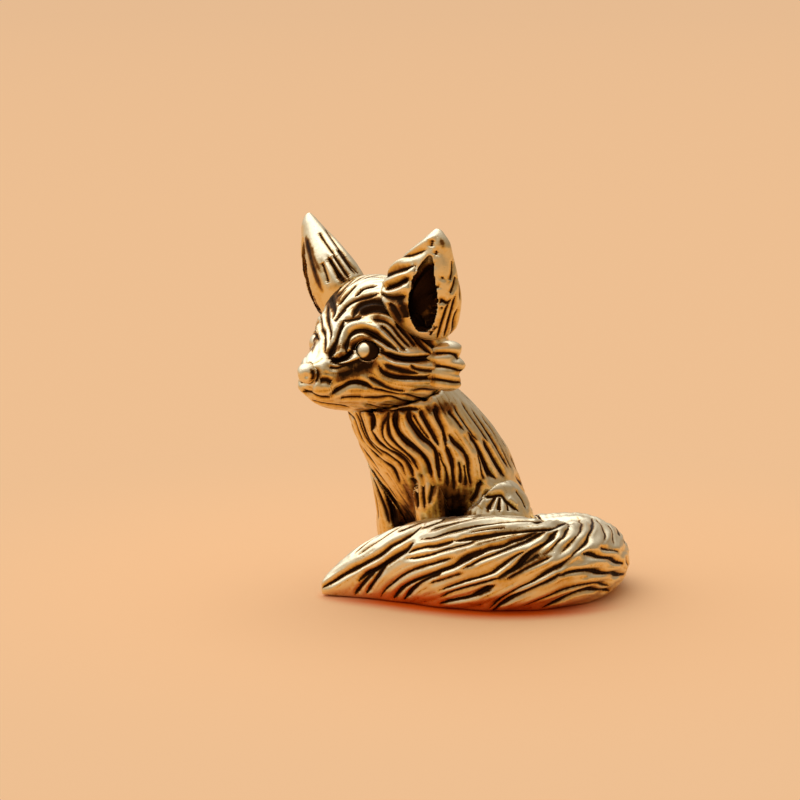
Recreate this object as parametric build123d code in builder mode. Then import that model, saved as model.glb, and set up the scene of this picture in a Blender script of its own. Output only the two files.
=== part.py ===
"""Sitting fox figurine in cast brass, built up from pieces that seat on one another.

The fox faces -Y, its left side is +X and +Z is up. The origin lies on the table, under the
middle of the body. Lengths are in millimetres.
"""

import os
from math import cos, radians, sin, tan
from typing import NamedTuple

from build123d import *


class Ring(NamedTuple):
    """A level cross-section of the torso, in shares of its height, lean, width and depth."""

    up: float
    lean: float
    width: float
    depth: float


class Slice(NamedTuple):
    """An upright cross-section of the head, in shares of its length, bow, width, rise and drop."""

    along: float
    sink: float
    width: float
    rise: float
    drop: float


class Section(NamedTuple):
    """An upright cross-section in millimetres: its widest line, and its rise and drop from there."""

    y: float
    z: float
    width: float
    rise: float
    drop: float


class Leaf(NamedTuple):
    """A cross-section of an ear, square to its axis, in shares of its length and width."""

    up: float
    width: float


class Hollow(NamedTuple):
    """A cross-section of an ear's hollow: its height, its size and its shift, in shares of the ear."""

    up: float
    size: float
    aside: float


class Bend(NamedTuple):
    """A place on the tail's centre line, in shares of its spread, width and height, and its locks' turn."""

    aside: float
    back: float
    width: float
    height: float
    turn: float


# Torso, from the flat base up to the neck end that the head sits on
torso_height = 19.3
torso_width = 12.0
torso_depth = 13.0
torso_lean = 9.2
seat_setback = 2.0
torso_lock_count = 28
torso_rings = [
    Ring(up=0.0, lean=0.0, width=0.93, depth=0.83),
    Ring(up=0.21, lean=0.03, width=1.0, depth=0.89),
    Ring(up=0.425, lean=0.26, width=0.98, depth=0.955),
    Ring(up=0.605, lean=0.48, width=0.95, depth=1.0),
    Ring(up=0.76, lean=0.705, width=0.865, depth=0.925),
    Ring(up=0.915, lean=0.925, width=0.715, depth=0.71),
    Ring(up=1.0, lean=1.0, width=0.535, depth=0.51),
]

# Fur of the torso and tail: grooves between the locks, the share of a lock that slopes down to each,
# and the gap from the locks' crests to the plain outline that the neighbours are cut to
fur_groove = 0.34
fur_slope = 0.28
fur_clearance = 0.02

# Head, from the nape to the end of the muzzle, which sits a little lower
head_length = 12.9
head_width = 12.2
crown_rise = 6.9
chin_drop = 3.9
head_bow = 1.3
nape_reach = 3.3
nape_height = 20.4
head_slices = [
    Slice(along=0.0, sink=0.0, width=0.215, rise=0.2, drop=0.31),
    Slice(along=0.047, sink=0.08, width=0.51, rise=0.465, drop=0.59),
    Slice(along=0.147, sink=0.31, width=0.805, rise=0.755, drop=0.9),
    Slice(along=0.364, sink=0.46, width=1.0, rise=1.0, drop=1.0),
    Slice(along=0.55, sink=0.54, width=0.885, rise=0.955, drop=0.975),
    Slice(along=0.713, sink=0.69, width=0.607, rise=0.68, drop=0.9),
    Slice(along=0.845, sink=0.92, width=0.4, rise=0.39, drop=0.72),
    Slice(along=0.938, sink=1.0, width=0.287, rise=0.245, drop=0.54),
    Slice(along=1.0, sink=0.92, width=0.18, rise=0.145, drop=0.31),
]
brow_fullness = 0.65
cheek_fullness = 0.55

# Mouth: the lower jaw is the part of the muzzle under a plane that climbs towards the cheeks
mouth_drop = 1.3
mouth_climb = 10.0
jaw_length = 5.2

# Eyes, placed from the muzzle end and the nape
eye_diameter = 2.1
eye_spacing = 5.7
eye_setback = 3.95
eye_rise = 0.75

# Nose, on the end of the muzzle
nose_diameter = 1.75
nose_rise = 0.3
nostril_diameter = 0.45
nostril_aside = 0.3
nostril_forward = 0.34

# Ears: hollow shells that lean outwards from the crown, each turned a little to its own side
ear_length = 9.1
ear_width = 7.1
ear_depth = 4.6
ear_wall = 1.0
ear_spacing = 8.3
ear_forward = 0.6
ear_seat = 3.8
ear_splay = 27.0
ear_turn = 15.0
ear_nod = 5.0
ear_leaves = [
    Leaf(up=0.0, width=0.52),
    Leaf(up=0.22, width=1.0),
    Leaf(up=0.46, width=0.9),
    Leaf(up=0.74, width=0.54),
    Leaf(up=1.0, width=0.2),
]
ear_hollows = [
    Hollow(up=0.1, size=0.3, aside=0.175),
    Hollow(up=0.24, size=0.58, aside=0.15),
    Hollow(up=0.44, size=0.6, aside=0.1),
    Hollow(up=0.62, size=0.4, aside=0.05),
    Hollow(up=0.8, size=0.06, aside=0.015),
]

# Cheek ruffs: a fan of locks behind each cheek
ruff_lock_count = 3
ruff_lock_length = 4.0
ruff_lock_width = 2.1
ruff_seat = 1.25
ruff_forward = 0.8
ruff_fan = 24.0
ruff_flare = 34.0
ruff_profile = [(0.0, 0.0), (0.5, 0.5), (0.38, 0.82), (0.0, 1.0)]

# Forelegs
foreleg_spacing = 4.9
foreleg_reach = 4.3
foreleg_lean = 1.1
foreleg_top = 11.5
foreleg_top_width = 4.2
foreleg_width = 3.0
ankle_height = 1.1

# Paws
paw_width = 3.3
paw_length = 4.4
paw_height = 2.3
forepaw_reach = 4.7
hind_paw_spacing = 10.2
hind_paw_reach = 1.7
toe_count = 4
toe_length = 1.1
toe_gap = 0.3

# Haunches
haunch_spacing = 9.6
haunch_setback = 0.0
haunch_centre_height = 4.5
haunch_width = 5.8
haunch_length = 7.8
haunch_height = 10.4

# Tail, from the rump round the left side to the tip in front of the paws
tail_aside = 11.6
tail_reach = 12.2
tail_width = 6.8
tail_height = 8.4
tail_sink = 0.8
tail_lock_count = 16
tail_steps = 9
tail_bends = [
    Bend(aside=0.086, back=0.36, width=0.675, height=0.66, turn=0),
    Bend(aside=0.5, back=0.67, width=0.825, height=0.735, turn=-15),
    Bend(aside=0.845, back=0.54, width=0.94, height=0.76, turn=-40),
    Bend(aside=1.0, back=0.164, width=1.0, height=0.875, turn=-67),
    Bend(aside=0.888, back=-0.213, width=1.0, height=1.0, turn=-94),
    Bend(aside=0.603, back=-0.475, width=0.88, height=1.0, turn=-121),
    Bend(aside=0.224, back=-0.648, width=0.675, height=0.86, turn=-148),
    Bend(aside=-0.078, back=-0.82, width=0.425, height=0.58, turn=-172),
    Bend(aside=-0.276, back=-1.0, width=0.147, height=0.19, turn=-190),
]

# Places that follow from the sizes above
head_sections = [
    Section(
        y=-nape_reach - share.along * head_length,
        z=nape_height - share.sink * head_bow,
        width=share.width * head_width,
        rise=share.rise * crown_rise,
        drop=share.drop * chin_drop,
    )
    for share in head_slices
]
muzzle = head_sections[-1]
cheek = max(head_sections, key=lambda section: section.width)
crown_height = cheek.z + cheek.rise
mouth_height = muzzle.z - mouth_drop
nose_place = (0, muzzle.y, muzzle.z + nose_rise)
eye_place = (eye_spacing / 2, muzzle.y + eye_setback, nape_height + eye_rise)
below_table = haunch_height
table_span = 2 * (tail_reach + torso_depth + tail_width)


def egg(station):
    """Draws an upright section of the head in four quarter curves, full at the brow."""
    half_width = station.width / 2
    sides = [Vector(half_width, 0), Vector(0, station.rise), Vector(-half_width, 0), Vector(0, -station.drop)]
    plane = Plane(origin=(0, station.y, station.z), x_dir=(1, 0, 0), z_dir=(0, -1, 0))
    with BuildSketch(plane) as section:
        with BuildLine():
            for index, start in enumerate(sides):
                end = sides[(index + 1) % 4]
                fullness = brow_fullness if index < 2 else cheek_fullness
                Bezier(start, start + end * fullness, end + start * fullness, end)
        make_face()
    return section.sketch


def ellipse_on(plane, width, depth, shift=(0, 0)):
    """Draws an ellipse on a plane, moved across the plane by the shift."""
    with BuildSketch(plane) as section:
        with Locations(shift):
            Ellipse(width / 2, depth / 2)
    return section.sketch


def furred_on(plane, width, depth, lock_count, groove, turn=0):
    """Draws an ellipse on a plane, its outline ridged into locks with grooves between, turned by an angle."""
    corners = []
    for index in range(lock_count):
        for share, inset in ((0, groove), (fur_slope, fur_clearance), (1 - fur_slope, fur_clearance)):
            around = radians(turn + (index + share) * 360 / lock_count)
            corners.append(((width / 2 - inset) * cos(around), (depth / 2 - inset) * sin(around)))
    with BuildSketch(plane) as section:
        with BuildLine():
            Polyline(*corners, close=True)
        make_face()
    return section.sketch


def blend(before, start, end, after, share):
    """Finds the value a share of the way from start to end, on a smooth curve through all four."""
    slope = end - before
    bow = 2 * before - 5 * start + 4 * end - after
    twist = 3 * start - before - 3 * end + after
    return start + share * (slope + share * (bow + share * twist)) / 2


def with_steps(bends, steps):
    """Adds blended bends between the given ones, so that each gap is taken in a number of steps."""
    run = [bends[0], *bends, bends[-1]]
    filled = []
    for four in zip(run, run[1:], run[2:], run[3:]):
        for step in range(steps):
            filled.append(Bend(*(blend(*values, step / steps) for values in zip(*four))))
    return [*filled, bends[-1]]


def rounded_mass(width, length, height):
    """Builds an ellipsoid about the origin."""
    with BuildPart() as mass:
        Sphere(length / 2)
        scale(by=(width / length, 1, height / length))
    return mass.part


def seated(blank, *neighbours):
    """Builds a piece from its blank, with each neighbour that it sits on cut out of it."""
    with BuildPart() as piece:
        add(blank)
        for neighbour in neighbours:
            add(neighbour.part, mode=Mode.SUBTRACT)
    return piece


def seated_pair(blank, *neighbours):
    """Builds a left-hand piece from its blank and a right-hand twin, both cut by their neighbours."""
    twin = mirror(blank, about=Plane.YZ)
    return seated(blank, *neighbours), seated(twin, *neighbours)


# Everything under the table top, cut away from the pieces that rest on it
with BuildPart() as table:
    with Locations((0, 0, -below_table / 2)):
        Box(table_span, table_span, below_table)

# Head blank, before the mouth, eyes and nose are cut
with BuildPart() as head_blank:
    loft([egg(station) for station in head_sections])

# Wedge below the mouth line, which divides the lower jaw from the head
jaw_root = muzzle.y + jaw_length
mouth_front = muzzle.y - nose_diameter
mouth_rise = (jaw_root - mouth_front) * tan(radians(mouth_climb))
chin_level = mouth_height - chin_drop
with BuildPart() as mouth_wedge:
    with BuildSketch(Plane.YZ):
        with BuildLine():
            Polyline(
                (mouth_front, chin_level),
                (jaw_root, chin_level),
                (jaw_root, mouth_height + mouth_rise),
                (mouth_front, mouth_height),
                close=True,
            )
        make_face()
    extrude(amount=head_width, both=True)

# Eyes: balls in sockets of the same size
with BuildPart() as eye_blank:
    with Locations(eye_place):
        Sphere(eye_diameter / 2, rotation=(0, 0, 135))

eye_left, eye_right = seated_pair(eye_blank.part)

# Nose: a round button with two nostrils, in a seat of its own shape
with BuildPart() as nose_blank:
    with Locations(nose_place):
        Sphere(nose_diameter / 2, rotation=(0, 0, 90))

nostril_x = nostril_aside * nose_diameter
nostril_y = muzzle.y - nostril_forward * nose_diameter
nostril_z = muzzle.z + nose_rise - nostril_diameter / 3
with BuildPart() as nose:
    add(nose_blank.part)
    with Locations((nostril_x, nostril_y, nostril_z), (-nostril_x, nostril_y, nostril_z)):
        Sphere(nostril_diameter / 2, rotation=(0, 0, 90), mode=Mode.SUBTRACT)

# Head and lower jaw
with BuildPart() as head:
    add(head_blank.part)
    add(mouth_wedge.part, mode=Mode.SUBTRACT)
    add(eye_left.part, mode=Mode.SUBTRACT)
    add(eye_right.part, mode=Mode.SUBTRACT)
    add(nose_blank.part, mode=Mode.SUBTRACT)

with BuildPart() as lower_jaw:
    add(head_blank.part)
    add(mouth_wedge.part, mode=Mode.INTERSECT)
    add(eye_left.part, mode=Mode.SUBTRACT)
    add(eye_right.part, mode=Mode.SUBTRACT)
    add(nose_blank.part, mode=Mode.SUBTRACT)

# Plain outline of the torso, which its neighbours are cut to
ring_planes = [
    Plane((0, seat_setback - ring.lean * torso_lean, ring.up * torso_height)) for ring in torso_rings
]
ring_sizes = [(ring.width * torso_width, ring.depth * torso_depth) for ring in torso_rings]
with BuildPart() as torso_outline:
    loft([ellipse_on(plane, *size) for plane, size in zip(ring_planes, ring_sizes)])

# Torso with its locks of fur, hollowed at the top by the head that sits on it
with BuildPart() as torso:
    loft(
        [
            furred_on(plane, *size, torso_lock_count, fur_groove)
            for plane, size in zip(ring_planes, ring_sizes)
        ]
    )
    add(head_blank.part, mode=Mode.SUBTRACT)

# Ears: a leaf-shaped shell, open to the front, standing on the crown
ear_root = Vector(ear_spacing / 2, cheek.y - ear_forward, crown_height - ear_seat)
ear_axis = Vector(tan(radians(ear_splay)), -tan(radians(ear_nod)), 1).normalized()
ear_across = Vector(cos(radians(ear_turn)), sin(radians(ear_turn)), 0)
ear_frame = Plane(ear_root, x_dir=ear_across - ear_axis * ear_across.dot(ear_axis), z_dir=ear_axis)
with BuildPart() as ear_blank:
    loft(
        [
            ellipse_on(ear_frame.offset(leaf.up * ear_length), leaf.width * ear_width, leaf.width * ear_depth)
            for leaf in ear_leaves
        ]
    )
    loft(
        [
            ellipse_on(
                ear_frame.offset(hollow.up * ear_length),
                hollow.size * (ear_width - 2 * ear_wall),
                hollow.size * ear_depth,
                (hollow.aside * ear_width, -ear_wall),
            )
            for hollow in ear_hollows
        ],
        mode=Mode.SUBTRACT,
    )

ear_left, ear_right = seated_pair(ear_blank.part, head_blank)

# Cheek ruffs: pointed locks that fan out backwards from the cheek
with BuildPart() as lock:
    with BuildSketch(Plane.XZ):
        with BuildLine():
            Spline([(out * ruff_lock_width, up * ruff_lock_length) for out, up in ruff_profile])
            Line((0, ruff_lock_length), (0, 0))
        make_face()
    revolve(axis=Axis.Z)

ruff_root = Vector(cheek.width / 2 - ruff_seat, cheek.y - ruff_forward, cheek.z)
with BuildPart() as ruff_blank:
    for index in range(ruff_lock_count):
        pitch = radians(ruff_fan * (index - (ruff_lock_count - 1) / 2))
        outward = Vector(
            sin(radians(ruff_flare)) * cos(pitch),
            cos(radians(ruff_flare)) * cos(pitch),
            sin(pitch),
        )
        with Locations(Plane(ruff_root, z_dir=outward)):
            add(lock.part)

cheek_ruff_left = seated(ruff_blank.part, head_blank, torso_outline, ear_left)
cheek_ruff_right = seated(mirror(ruff_blank.part, about=Plane.YZ), head_blank, torso_outline, ear_right)

# Haunches: rounded thighs against the sides of the torso
haunch_mass = rounded_mass(haunch_width, haunch_length, haunch_height)
haunch_place = Location((haunch_spacing / 2, haunch_setback, haunch_centre_height))
haunch_left, haunch_right = seated_pair(haunch_mass.moved(haunch_place), table, torso_outline)

# Forelegs: tapering columns from the chest down to the paws
foreleg_stations = [
    (ankle_height, foreleg_reach, foreleg_width),
    (foreleg_top / 2, foreleg_reach + foreleg_lean / 3, foreleg_width),
    (foreleg_top, foreleg_reach + foreleg_lean, foreleg_top_width),
]
with BuildPart() as foreleg_blank:
    for height, reach, width in foreleg_stations:
        with BuildSketch(Plane.XY.offset(height)):
            with Locations((foreleg_spacing / 2, -reach)):
                Circle(width / 2)
    loft()

foreleg_left, foreleg_right = seated_pair(foreleg_blank.part, torso_outline)

# Tail: sections square to the centre line, whose locks wind round it on the way to the tip
tail_stops = with_steps(tail_bends, tail_steps)
tail_places = [Vector(bend.aside * tail_aside, bend.back * tail_reach, 0) for bend in tail_stops]
tail_line = Spline(tail_places)
tail_planes = []
for place, bend in zip(tail_places, tail_stops):
    forward = tail_line.tangent_at(tail_line.param_at_point(place))
    lift = Vector(0, 0, bend.height * (tail_height / 2 - tail_sink))
    tail_planes.append(Plane(place + lift, x_dir=Vector(0, 0, 1).cross(forward), z_dir=forward))

# Plain outline of the tail, which the paws under it are cut to
with BuildPart() as tail_outline:
    loft(
        [
            ellipse_on(plane, bend.width * tail_width, bend.height * tail_height)
            for plane, bend in zip(tail_planes[::tail_steps], tail_bends)
        ]
    )

with BuildPart() as tail_blank:
    loft(
        [
            furred_on(
                plane,
                bend.width * tail_width,
                bend.height * tail_height,
                tail_lock_count,
                bend.width * fur_groove,
                bend.turn,
            )
            for plane, bend in zip(tail_planes, tail_stops)
        ]
    )

# The tail lies flat on the table, against the torso, haunch and foreleg
tail = seated(tail_blank.part, table, torso_outline, haunch_left, foreleg_left)

# Paws: rounded pads with the toes parted by slots, except where the tail lies over them
paw_mass = rounded_mass(paw_width, paw_length, 2 * paw_height)
toe_pitch = paw_width / toe_count
pad = seated(paw_mass, table)
with BuildPart() as paw:
    add(pad.part)
    with Locations((0, -paw_length / 2, 0)):
        with GridLocations(toe_pitch, 0, toe_count - 1, 1):
            Box(toe_gap, 2 * toe_length, 2 * paw_height, mode=Mode.SUBTRACT)

forepaw_place = Location((foreleg_spacing / 2, -forepaw_reach, 0))
forepaw_left = seated(pad.part.moved(forepaw_place), foreleg_left, torso_outline, tail_outline)
forepaw_right = seated(mirror(paw.part.moved(forepaw_place), about=Plane.YZ), foreleg_right, torso_outline)

hind_paw_place = Location((hind_paw_spacing / 2, -hind_paw_reach, 0))
hind_paw_left = seated(paw.part.moved(hind_paw_place), haunch_left, torso_outline, tail_outline)
hind_paw_right = seated(mirror(paw.part.moved(hind_paw_place), about=Plane.YZ), haunch_right, torso_outline)

pieces = {
    "torso": torso,
    "head": head,
    "lower_jaw": lower_jaw,
    "nose": nose,
    "eye_left": eye_left,
    "eye_right": eye_right,
    "ear_left": ear_left,
    "ear_right": ear_right,
    "cheek_ruff_left": cheek_ruff_left,
    "cheek_ruff_right": cheek_ruff_right,
    "foreleg_left": foreleg_left,
    "foreleg_right": foreleg_right,
    "forepaw_left": forepaw_left,
    "forepaw_right": forepaw_right,
    "haunch_left": haunch_left,
    "haunch_right": haunch_right,
    "hind_paw_left": hind_paw_left,
    "hind_paw_right": hind_paw_right,
    "tail": tail,
}

os.makedirs("parts", exist_ok=True)
for name, piece in pieces.items():
    piece.part.label = name
    export_step(piece.part, f"parts/{name}.step")
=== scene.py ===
"""Sitting fox figurine in antiqued brass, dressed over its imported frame.

Each casting is a fine copy of a node of the frame, carved with the lines between the locks of fur.
The head and lower jaw are one casting. The lines that the photograph shows are drawn in its
800 x 800 pixels and laid on the form from the camera's place. On the sides that it doesn't show,
the frame's own locks stay, half as high, and lines grow side by side.
Carving is done in millimetres, and finished meshes are in metres.
"""

import functools
import math
import random
from typing import NamedTuple

import bpy
import numpy as np
from bpy.props import FloatProperty, FloatVectorProperty, PointerProperty
from mathutils import Matrix, Vector
from mathutils.bvhtree import BVHTree
from mathutils.kdtree import KDTree


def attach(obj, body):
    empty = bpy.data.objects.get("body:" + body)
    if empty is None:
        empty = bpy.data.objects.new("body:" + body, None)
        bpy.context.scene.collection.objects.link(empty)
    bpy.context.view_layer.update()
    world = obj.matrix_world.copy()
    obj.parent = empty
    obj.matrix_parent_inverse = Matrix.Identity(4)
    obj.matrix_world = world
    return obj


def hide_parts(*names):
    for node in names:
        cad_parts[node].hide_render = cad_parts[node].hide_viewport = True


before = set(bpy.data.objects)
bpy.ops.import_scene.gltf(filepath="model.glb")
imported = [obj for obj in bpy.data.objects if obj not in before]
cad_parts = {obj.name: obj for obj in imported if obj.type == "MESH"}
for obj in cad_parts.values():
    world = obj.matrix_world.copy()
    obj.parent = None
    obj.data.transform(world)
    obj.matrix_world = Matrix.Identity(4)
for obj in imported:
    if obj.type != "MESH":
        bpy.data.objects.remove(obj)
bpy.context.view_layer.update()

bl_info = {
    "name": "Brass Fox Figurine",
    "version": (1, 0, 0),
    "blender": (4, 5, 0),
    "location": "View3D > Sidebar > Fox",
    "description": "Carves and finishes a small sitting fox in antiqued brass",
    "category": "Add Mesh",
}

MM = 0.001
BODY = "root"
PHOTO_SIZE = 800
SEED = 11

# Lines laid on the form, in mm: a cut's depth for each pixel of its width, its sloping shoulder and
# the depth from which it is quite dark, the step along a line and the mesh size of what it lies on
CUT_DEPTH = 0.12
CUT_SHOULDER = 0.48
DARK_DEPTH = 0.16
STEP = 0.15
SKIN_GRAIN = 0.25

# Shares of a line's width and amount that are left at its ends, and where along it the ends begin
CUT_FADE = 0.25
STAIN_AND_SHADE_FADE = 0.6
EAR_STAIN_AND_SHADE_FADE = 0.7
TAPER_PLACES = (0, 0.12, 0.85, 1)

# Depth before and behind the figurine that is searched for a place under a pixel, in mm, and steps there
SEARCH_DEPTH = 25
SEARCH_STEPS = 51

# Mirrored lines keep off the middle plane, in mm, and face the camera less than this
MIDDLE_GAP = 0.3
HIDDEN_FACING = -0.1

# Height over the table where grown lines stop and start, and up to which carving fades out, in mm
LINE_FLOOR = 0.1
START_FLOOR = 0.15
BASE_FADE = 0.15

# Lie of the fur against the pull of the lines close by
LIE_PULL = 0.12

# Room round the drawn lines that is kept free of the castings' own locks, in mm
LOCK_ROOM = 0.8

# Search for what shuts a place in, where shade is painted: its mesh size, its start off the surface and its
# reach, in mm, then the number of directions tried and how far the flattest of them rises from the surface
SHELL_GRAIN = 0.3
SHELTER_START = 0.15
SHELTER_REACH = 4.0
SHELTER_WAYS = 42
SHELTER_RISE = 0.15

# Lids drawn over an eye, in mm: width and height of what moves, and the gap left over the ball
LID_WIDTH = 1.5
LID_HEIGHT = 1.2
LID_GAP = 0.1

# The nose's and the castings' own unevenness is smoothed away in this many rounds
FLAT_ROUNDS = 90

# Corners of the near eye and its painted glint, in pixels, and the side of the metal that gets a painted
# highlight, as if lit from above
EYE_CORNERS = ((350, 351), (385, 353))
EYE_GLINT = (362, 350)
PAINTED_HIGHLIGHT_SIDE = (-0.1, -0.1, 0.99)

BODY_PARTS = ("torso", "haunch_left", "haunch_right", "foreleg_left", "foreleg_right")
PAWS = ("forepaw_left", "forepaw_right", "hind_paw_left", "hind_paw_right")

# Mesh size of the finished pieces in mm, and rounds that soften their edges
FINE = {
    "torso": (0.119, 3),
    "limb": (0.1, 3),
    "head": (0.084, 6),
    "nose": (0.05, FLAT_ROUNDS),
    "eye": (0.06, 2),
    "ear": (0.075, 14),
    "ruff": (0.06, 30),
    "tail": (0.107, 3),
    "paw": (0.1, 4),
}

# Ends of pieces that lean into their neighbours, in mm: the length that leans, and how far
LEG_TOP = 2.5
LEG_LEANS = {"foreleg_left": (-0.5, 0.7, 0), "foreleg_right": (0, 0.1, 0)}
EAR_FOOT = 6.0
EAR_LEAN = 0.7
RUFF_FRONT = 1.4
RUFF_LEAN = 0.6

# Length of an ear that is rounded off at its tip, in mm
EAR_TIP = 0.9

# Blotches, grit and relief of the metal, in metres
BLOTCH_SIZE = 2.6 * MM
GRIT_SIZE = 0.3 * MM
RELIEF_HEIGHT = 0.06 * MM

# How bright the metal is rubbed
CARVED_RUBBING = 0.76
SMOOTH_RUBBING = 0.86

# Shares of open sky between which the floor's painted glow, bounce light and contact shade, fades out
GLOW_OPEN = (0.5, 0.85)

# Stage, in metres: how far the painted glow looks up and where it ends, where the shadow ends and the floor
# turns to the backdrop's colour, and the lamp
FLOOR_SIZE = 6.0
GLOW_REACH = 0.0036
GLOW_FADE = (0.006, 0.015)
SHADOW_FADE = (0.018, 0.06)
BACKDROP_FADE = (0.05, 1.2)
LAMP_SIZE = 0.9
LAMP_DISTANCE = 0.6
LAMP_AIM = (0, 0, 0.012)

# Sky from its darkest side to its lightest, and the shares of its strength to either side
SKY_STOPS = ((0.0, (0.36, 0.28, 0.2)), (0.4, (0.52, 0.45, 0.37)), (0.85, (1.0, 0.96, 0.9)))
SKY_SIDES = (0.92, 1.06)


class Stroke(NamedTuple):
    """Something drawn on the photograph: width and path in pixels, and a height in mm or a strength."""

    width: float
    path: list
    amount: float


def cut(width, *numbers):
    """A dark line as deep as its width asks: the width, then x and y of each point."""
    return soft(width, CUT_DEPTH * width, *numbers)


def soft(width, amount, *numbers):
    """A soft ridge or stain: the width, the height or strength, then x and y of each point."""
    return Stroke(width, list(zip(numbers[::2], numbers[1::2])), amount)


class Line(NamedTuple):
    """A stroke laid on a form: points, normals, directions along it, half widths and amounts, in mm."""

    points: np.ndarray
    normals: np.ndarray
    along: np.ndarray
    halves: np.ndarray
    amounts: np.ndarray


# Dark lines of the chest and back, from the neck down
CHEST_CUTS = [
    cut(3, 345, 413, 352, 419, 356, 428, 361, 440, 368, 449, 378, 458, 390, 467, 395, 473, 399, 482),
    cut(2, 354, 411, 358, 420, 361, 430, 366, 440, 374, 449, 384, 456),
    cut(2, 359, 411, 363, 428, 369, 441, 378, 450, 390, 457, 400, 465, 405, 475),
    cut(5, 374, 408, 371, 418, 371, 431),
    cut(3, 371, 431, 376, 441, 385, 449, 396, 455, 405, 462, 410, 470, 413, 478),
    cut(2, 387, 415, 382, 428, 382, 438, 388, 446, 398, 453, 407, 460, 413, 467),
    cut(2.5, 389, 411, 387, 424, 389, 436, 395, 445, 404, 453, 412, 460, 418, 470),
    cut(5, 396, 411, 395, 424, 398, 434, 405, 442, 414, 449, 423, 457, 428, 465, 430, 476, 433, 488),
    cut(4, 409, 409, 410, 420, 416, 430, 423, 439, 431, 446, 436, 453, 438, 466, 440, 480),
    cut(2, 412, 413, 418, 424, 424, 433, 431, 441),
    cut(3, 420, 410, 426, 421, 431, 430, 436, 439, 439, 446),
    cut(4, 436, 407, 438, 417, 443, 427, 446, 436, 446, 446),
    cut(3, 446, 446, 450, 455, 453, 465, 454, 476, 454, 489),
    cut(2, 439, 450, 442, 462, 446, 471, 448, 486),
    cut(3, 449, 434, 455, 442, 464, 451, 469, 461, 470, 472, 471, 485),
    cut(2, 459, 462, 461, 472, 461, 484),
    cut(2, 465, 464, 466, 475, 466, 486),
    cut(4.5, 469, 433, 476, 442, 481, 451, 486, 463, 490, 472, 496, 478),
    cut(2, 478, 452, 481, 462, 483, 472, 485, 481),
    cut(3.5, 484, 440, 490, 450, 496, 461, 502, 471, 506, 477),
    cut(2, 448, 410, 457, 421, 464, 431),
    cut(2, 454, 405, 463, 419, 472, 432, 480, 442),
    cut(2, 462, 402, 472, 416, 482, 430, 489, 442),
    cut(2, 471, 407, 482, 422, 492, 438, 500, 452, 508, 467),
    cut(2, 482, 415, 494, 432, 504, 450, 513, 470),
    cut(2.5, 421, 474, 422, 488, 424, 508),
    cut(2.5, 432, 478, 432, 490, 429, 504),
    cut(3, 412, 478, 415, 490, 417, 508),
    cut(3, 352, 410, 368, 409, 385, 409, 402, 409, 420, 409),
]
LEG_CUTS = [
    cut(3, 366, 466, 373, 482, 379, 496, 384, 508, 389, 522),
    cut(2, 372, 471, 380, 485, 390, 498, 397, 506),
    cut(4, 384, 488, 389, 500, 393, 512, 395, 524),
    cut(2, 370, 480, 374, 500, 378, 520),
    cut(3, 482, 494, 491, 496, 502, 495, 507, 501, 514, 507, 519, 511),
    cut(3, 497, 495, 492, 502, 488, 510),
    cut(3, 501, 496, 500, 503, 499, 511),
    cut(2, 505, 497, 508, 504, 509, 512),
    cut(2.5, 516, 490, 523, 499, 527, 509),
    cut(2, 520, 487, 527, 496, 531, 508),
    cut(4, 481, 482, 479, 492, 472, 505),
]
BODY_SWELLS = [
    soft(9, 0.14, 402, 420, 408, 432, 418, 443, 428, 453, 436, 464, 437, 478),
    soft(8, 0.14, 430, 412, 436, 424, 443, 436),
    soft(8, 0.1, 450, 412, 462, 428, 473, 443, 477, 458, 478, 475),
    soft(10, 0.22, 486, 489, 500, 486, 514, 488),
    soft(7, 0.18, 485, 499, 478, 507),
    soft(7, 0.15, 508, 498, 517, 507),
]
# Dark patches of the body: patina, and painted shade in the recesses by the forelegs and under the neck
BODY_STAINS_AND_SHADE = [
    soft(24, 0.5, 408, 482, 410, 498, 408, 516),
    soft(26, 0.55, 438, 490, 454, 496, 470, 492),
    soft(12, 0.45, 475, 486, 480, 482),
    soft(5, 0.7, 489, 506, 488, 511),
    soft(4, 0.6, 500, 505, 500, 511),
    soft(12, 0.6, 388, 496, 393, 512, 396, 524),
    soft(13, 0.55, 424, 410, 440, 408, 455, 405),
    soft(14, 0.4, 356, 410, 385, 412, 415, 412),
]

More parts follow.
